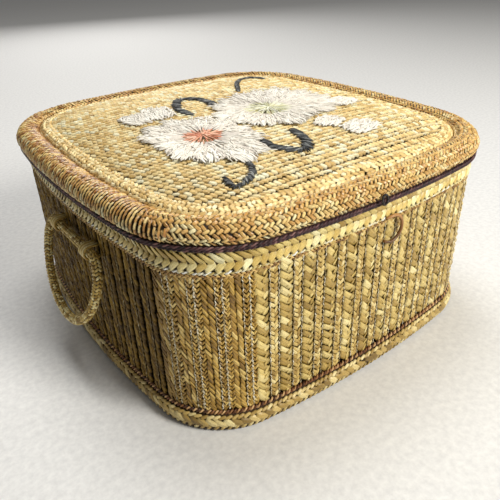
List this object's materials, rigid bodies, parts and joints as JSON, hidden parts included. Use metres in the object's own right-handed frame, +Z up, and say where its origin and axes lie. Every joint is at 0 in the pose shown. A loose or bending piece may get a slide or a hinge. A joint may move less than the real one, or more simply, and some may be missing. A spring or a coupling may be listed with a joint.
{
  "type": "sewing box with trays",
  "caption": "Straw-covered sewing box with a hinged padded lid, raffia flowers, a carrying ring on each side, a cane ring in front and lift-out trays.",
  "frame": {"origin": "middle of the base, on the surface that the box stands on", "axes": "+Z up, +X to the box's right seen from the front, +Y towards the hinges; the front with the cane ring faces -Y"},
  "size_m": [0.318, 0.303, 0.1487],
  "materials": {
    "straw": "natural plaited straw with a satin sheen",
    "roll_straw": "straw dyed in natural and rust, satin sheen",
    "panel_straw": "woven natural straw, satin sheen",
    "pale_cord": "twisted pale cord",
    "brown_cord": "twisted rust-brown straw cord",
    "maroon_cloth": "dark maroon cloth piping",
    "satin": "quilted maroon-red satin",
    "board": "thin pressed board",
    "wadding": "soft cotton wadding",
    "tray_wood": "thin varnished wood",
    "brass": "aged brass",
    "cane": "tan cane, smooth",
    "thread": "dark thread",
    "pale_raffia": "pale raffia stitches with a lilac tint",
    "pink_raffia": "salmon-pink raffia stitches",
    "green_raffia": "green-white raffia stitches",
    "dark_raffia": "charcoal raffia stitches"
  },
  "bodies": {
    "basket": {"base_board": "board", "wall_shell": "board", "straw_wall": "straw", "foot_band": "straw", "foot_cord": "brown_cord", "rim_braid": "brown_cord", "rim_cord": "pale_cord", "rim_band": "straw", "wall_lining": "satin", "base_pad": "satin", "tray_ledge_left": "tray_wood", "tray_ledge_right": "tray_wood", "hinge_left_box_leaf": "brass", "hinge_left_pin": "brass", "hinge_right_box_leaf": "brass", "hinge_right_pin": "brass", "handle_left_front_lashing": "straw", "handle_left_rear_lashing": "straw", "handle_right_front_lashing": "straw", "handle_right_rear_lashing": "straw"},
    "lid": {"lid_board": "board", "lid_lining": "satin", "lid_padding": "wadding", "lid_panel": "panel_straw", "lid_border_roll": "roll_straw", "lid_piping": "maroon_cloth", "lid_loop": "thread", "hinge_left_lid_leaf": "brass", "hinge_right_lid_leaf": "brass", "pink_flower_petals": "pale_raffia", "pink_flower_centre": "pink_raffia", "green_flower_petals": "pale_raffia", "green_flower_centre": "green_raffia", "left_bud": "pale_raffia", "right_bud": "pale_raffia", "front_bud": "pale_raffia", "low_bud": "pale_raffia", "stem_arch": "dark_raffia", "stem_hook": "dark_raffia", "stem_bow": "dark_raffia", "stem_curl": "dark_raffia"},
    "left_ring": {"handle_left": "straw"},
    "right_ring": {"handle_right": "straw"},
    "cane_ring": {"front_ring": "cane"},
    "upper_tray": {"tray_upper_shell": "tray_wood", "tray_upper_lining": "satin", "tray_upper_divider_long": "tray_wood", "tray_upper_divider_front_left": "tray_wood", "tray_upper_divider_front_right": "tray_wood", "tray_upper_divider_rear": "tray_wood", "tray_upper_tab_left": "maroon_cloth", "tray_upper_tab_right": "maroon_cloth"},
    "lower_tray": {"tray_lower_shell": "tray_wood", "tray_lower_lining": "satin", "tray_lower_divider_long": "tray_wood", "tray_lower_divider_cross": "tray_wood", "tray_lower_tab_left": "maroon_cloth", "tray_lower_tab_right": "maroon_cloth"}
  },
  "joints": [
    {"name": "lid_hinge", "type": "hinge", "parent": "basket", "child": "lid", "pos_m": [0, 0.1496, 0.12517], "axis": [-1, 0, 0], "range_deg": [0, 100]},
    {"name": "left_ring_swing", "type": "hinge", "parent": "basket", "child": "left_ring", "pos_m": [-0.141, -0.01, 0.0955], "axis": [0, 1, 0], "range_deg": [-14.5, 140]},
    {"name": "right_ring_swing", "type": "hinge", "parent": "basket", "child": "right_ring", "pos_m": [0.141, -0.01, 0.0955], "axis": [0, -1, 0], "range_deg": [-14.5, 140]},
    {"name": "cane_ring_swing", "type": "hinge", "parent": "basket", "child": "cane_ring", "pos_m": [0.00455, -0.1455, 0.1045], "axis": [0, 0, -1], "range_deg": [0, 95]},
    {"name": "upper_tray_lift", "type": "slide", "parent": "basket", "child": "upper_tray", "axis": [0, 0, 1], "range_m": [0, 0.048]},
    {"name": "lower_tray_lift", "type": "slide", "parent": "basket", "child": "lower_tray", "axis": [0, 0, 1], "range_m": [0, 0.024]}
  ],
  "couplings": [
    {"joint": "upper_tray_lift", "follows": "lid_hinge", "m_per_rad": 0.027},
    {"joint": "lower_tray_lift", "follows": "lid_hinge", "m_per_rad": 0.0135}
  ]
}
